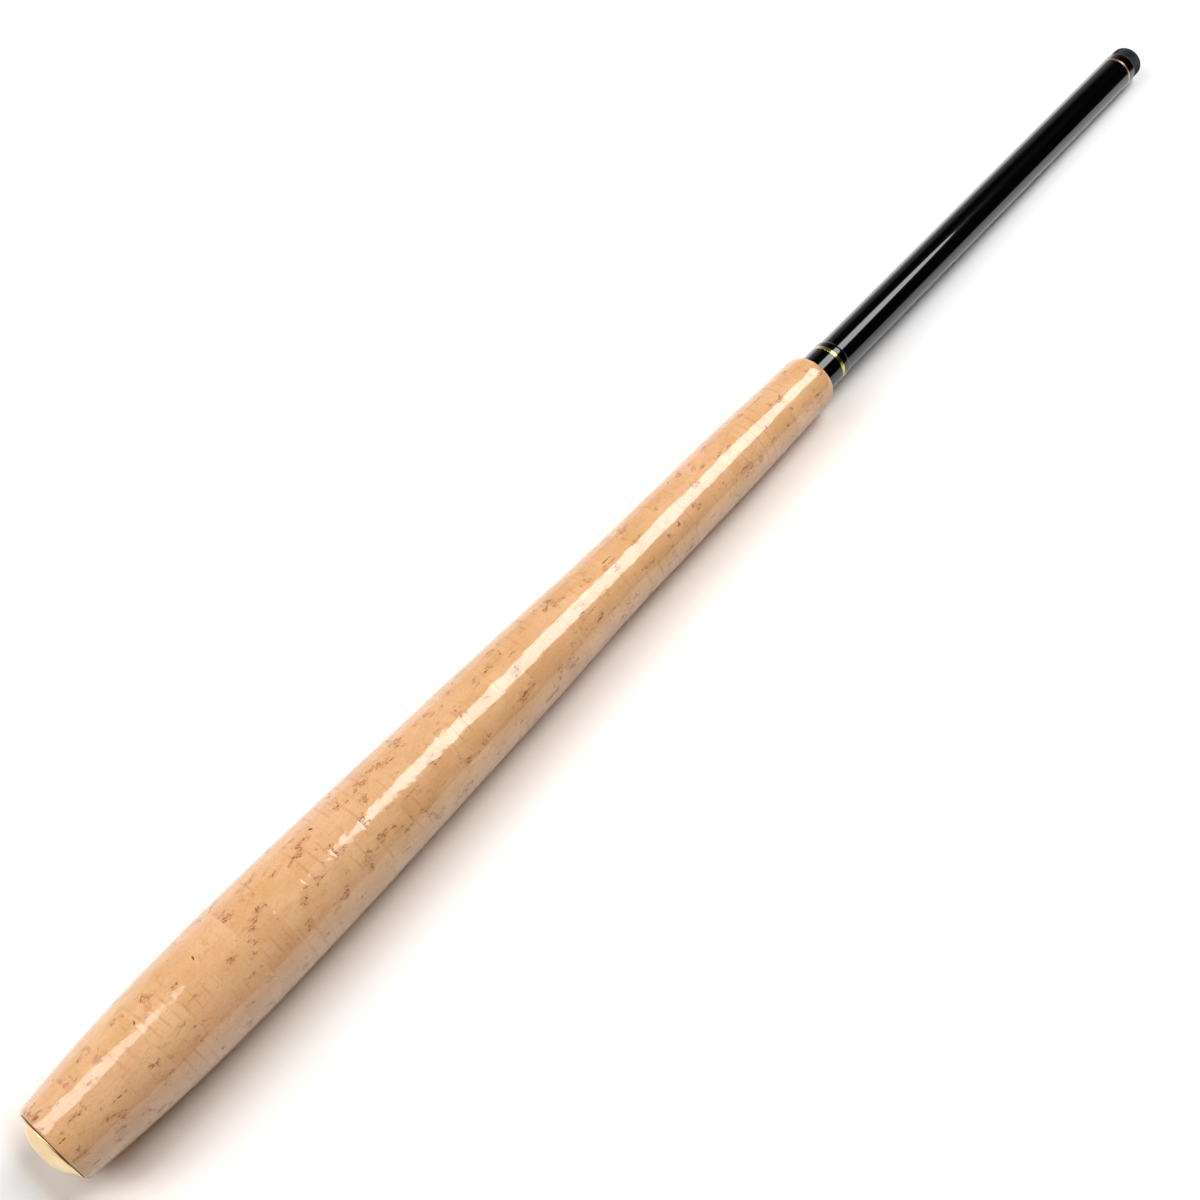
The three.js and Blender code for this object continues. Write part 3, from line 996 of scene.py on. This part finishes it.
def tip_plug():
    """Moulded plug: a hollow stem with three soft ribs, and a head with a fine straight knurl."""
    cad = stations("tip_plug", CAD_PLUG_SIDES)
    (stem_end, (hollow, stem)), (end, (_, face)) = cad[0], cad[-1]
    head = max(radii[-1] for _, radii in cad)

    def places(radius):
        return [x for x, radii in cad if any(abs(radius - other) < SAME for other in radii)]

    floor, seat = places(hollow)[-1], places(stem)[-1]
    rib = max(radii[-1] for x, radii in cad if x < seat)
    half_rib = cad[2][0] - cad[1][0]
    knurl_start, knurl_end = places(head)[0], places(head)[-1]
    back_round = head - [radii[-1] for x, radii in cad if x == seat][0]

    outline = filleted([
        (floor, 0),
        (floor, hollow, EDGE),
        (stem_end, hollow, EDGE),
        (stem_end, stem, STEM_EDGE),
        (cad[1][0], stem),
    ])[:-1]
    for x in places(rib):
        for step in range(RIB_STEPS + 1):
            along = 2 * step / RIB_STEPS - 1
            height = (rib - stem) * (0.5 + 0.5 * math.cos(math.pi * along))
            outline.append((x + half_rib * along, stem + height))
    back = [outline[-1], (seat, stem, EDGE), (seat, head, back_round), (end, head)]
    outline += filleted(back)[1:-1]
    for step in range(KNURL_STATIONS + 1):
        outline.append((knurl_start + (knurl_end - knurl_start) * step / KNURL_STATIONS, head))
    outline += rounded_rim(knurl_end, end, head, face, RIM_STEPS)

    def shape(x, angle, r):
        if not knurl_start < x < knurl_end:
            return r
        groove = (0.5 - 0.5 * math.cos(angle * KNURL_TEETH)) ** KNURL_SHARPNESS
        into = ramp(min(x - knurl_start, knurl_end - x), 0, KNURL_RUN)
        return r - KNURL_DEPTH * into * groove

    sides = KNURL_TEETH * KNURL_STEPS
    piece = lathe("plug", outline + [(end, 0)], sides, closed=False, shape=shape)
    place(piece, "plug", "tip_plug", PLUG)


for carrier, node in zip(["handle_section"] + SECTION_NODES, SECTION_NODES[:-1]):
    section(node, carrier)
tip_section(SECTION_NODES[-2])
tip_plug()


# Floor, lights and camera

def floor_material():
    """White paper, which the camera and the reflections see whiter than it lights the rod."""
    material, tree, surface = shader("floor")
    rays = add(tree, "LightPath").outputs
    spot = add(tree, "TexCoord").outputs["Object"]
    along, across, height = add(tree, "SeparateXYZ", {0: spot}).outputs
    behind = calc(tree, "MULTIPLY", calc(tree, "MINIMUM", along, 0.0), BEHIND)
    aside = add(tree, "CombineXYZ", {0: behind, 1: across}).outputs[0]
    aside = add(tree, "VectorMath", {0: aside}, operation="LENGTH").outputs["Value"]
    in_front = calc(tree, "SUBTRACT", along, CAD_BOX[1].x)
    distance = calc(tree, "MAXIMUM", aside, in_front)

    # Painted warm bounce: beside the grip the camera sees the paper tinted as if lit by the cork
    bounce_free = fade(tree, distance, *PAINTED_BOUNCE_REACH)
    bounce_free = calc(tree, "MAXIMUM", bounce_free, fade(tree, along, *PAINTED_BOUNCE_END))
    seen = mix(tree, bounce_free, PAINTED_BOUNCE_TINT, FLOOR_SEEN)
    seen = mix(tree, rays["Is Camera Ray"], FLOOR_BOUNCE, seen)
    tree.links.new(seen, surface.inputs["Base Color"])

    far = fade(tree, distance, *FAR)
    glow = calc(tree, "MULTIPLY_ADD", far, FAR_GLOW, FLOOR_GLOW)
    shine = calc(tree, "MAXIMUM", rays["Is Glossy Ray"], rays["Is Transmission Ray"])
    shine = calc(tree, "MULTIPLY", shine, fade(tree, height, *SHINE_TOP))
    shine = calc(tree, "MULTIPLY", shine, fade(tree, across, *SHINE_FRONT))
    shine = calc(tree, "MULTIPLY", shine, FLOOR_SHINE)
    light = calc(tree, "MULTIPLY_ADD", rays["Is Camera Ray"], glow, shine)
    # Painted contact shadow: close beside the rod the glow and the shine are left out, so the floor
    # is darker there, as the camera and the reflections see it
    past_painted_shade = calc(tree, "MAXIMUM", far, fade(tree, aside, *PAINTED_CONTACT_SHADE))
    light = calc(tree, "MULTIPLY", light, past_painted_shade)
    tree.links.new(light, surface.inputs["Emission Strength"])
    adjust(surface, {"Roughness": 0.9, "Specular IOR Level": 0.1, "Emission Color": WHITE})
    return material


def stage_floor():
    """The rod lies on the belly of its grip and the rim of its mouth, so the floor under it leans.

    In front of the closed rod the floor stays low, so that the sections drawn out clear it. Far
    out it rises into a backdrop all round.
    """
    corks = [name for name in frame["nodes"] if name.startswith("cork")]
    belly = max((radius, x) for name in corks for x, radius in outside(name))
    mouth = outside("handle_section")[-2]
    slope = (belly[0] - mouth[1]) / (mouth[0] - belly[1])
    bend = CAD_BOX[1].x
    builder = bmesh.new()
    rows = []
    for distance, rise in BACKDROP:
        row = []
        for side in range(BACKDROP_SIDES):
            angle = 2 * math.pi * side / BACKDROP_SIDES
            x, y = bend + distance * math.cos(angle), distance * math.sin(angle)
            level = -belly[0] + (min(x, bend) - belly[1]) * slope
            row.append(builder.verts.new((x, y, level + rise)))
        rows.append(row)
    left, right = BACKDROP_SIDES // 4, BACKDROP_SIDES * 3 // 4
    builder.faces.new(rows[0][left:right + 1])
    builder.faces.new(rows[0][right:] + rows[0][:left + 1])
    for inner, outer in zip(rows, rows[1:]):
        for side in range(BACKDROP_SIDES):
            after = (side + 1) % BACKDROP_SIDES
            corners = (inner[side], outer[side], outer[after], inner[after])
            builder.faces.new(corners).smooth = True
    mesh = to_mesh("floor", builder)
    mesh.materials.append(floor_material())
    floor = link("floor", mesh)


def softbox(name, centre, size, aim, radiance, roll):
    """An oval softbox. Its width lies level, along the rod, before it is rolled about its axis."""
    lamp = bpy.data.lights.new(name, "AREA")
    lamp.shape = "ELLIPSE"
    lamp.size, lamp.size_y = size
    area = math.pi / 4 * size[0] * size[1]
    lamp.energy = radiance * math.pi * area
    holder = link(name, lamp)
    holder.visible_camera = False
    towards = (Vector(aim) - Vector(centre)).normalized()
    side = Vector((0, 1, 0)).cross(-towards).normalized()
    up = (-towards).cross(side)
    turn = Matrix((side, up, -towards)).transposed().to_4x4()
    rolled = turn @ Matrix.Rotation(math.radians(roll), 4, "Z")
    holder.matrix_world = Matrix.Translation(centre) @ rolled


def world_light():
    """A dim room round the softboxes."""
    world = bpy.data.worlds.new("studio")
    bpy.context.scene.world = world
    world.use_nodes = True
    background = world.node_tree.nodes["Background"]
    background.inputs["Color"].default_value = WHITE
    background.inputs["Strength"].default_value = WORLD


def photo_camera():
    """The camera that the photograph was taken with, as fitted to the rod's outlines."""
    forward = HEADING * math.cos(PITCH) - Vector((0, 0, math.sin(PITCH)))
    right = forward.cross(Vector((0, 0, 1))).normalized()
    up = right.cross(forward)
    butt = Vector((outside("cork_ring_01")[0][0], 0, 0))
    offset = right * BUTT_SHARES[0] + up * BUTT_SHARES[1] + forward
    camera = bpy.data.cameras.new("camera")
    camera.sensor_width = SENSOR
    camera.lens = LENS
    camera.clip_start = CLIP_START
    holder = link("camera", camera)
    turn = Matrix((right, up, -forward)).transposed().to_4x4()
    holder.matrix_world = Matrix.Translation(butt - offset * BUTT_DEPTH) @ turn
    bpy.context.scene.camera = holder


stage_floor()
softbox("key", *KEY_LIGHT)
softbox("fill", *FILL_LIGHT)
world_light()
photo_camera()
bpy.context.scene.view_settings.view_transform = "Standard"
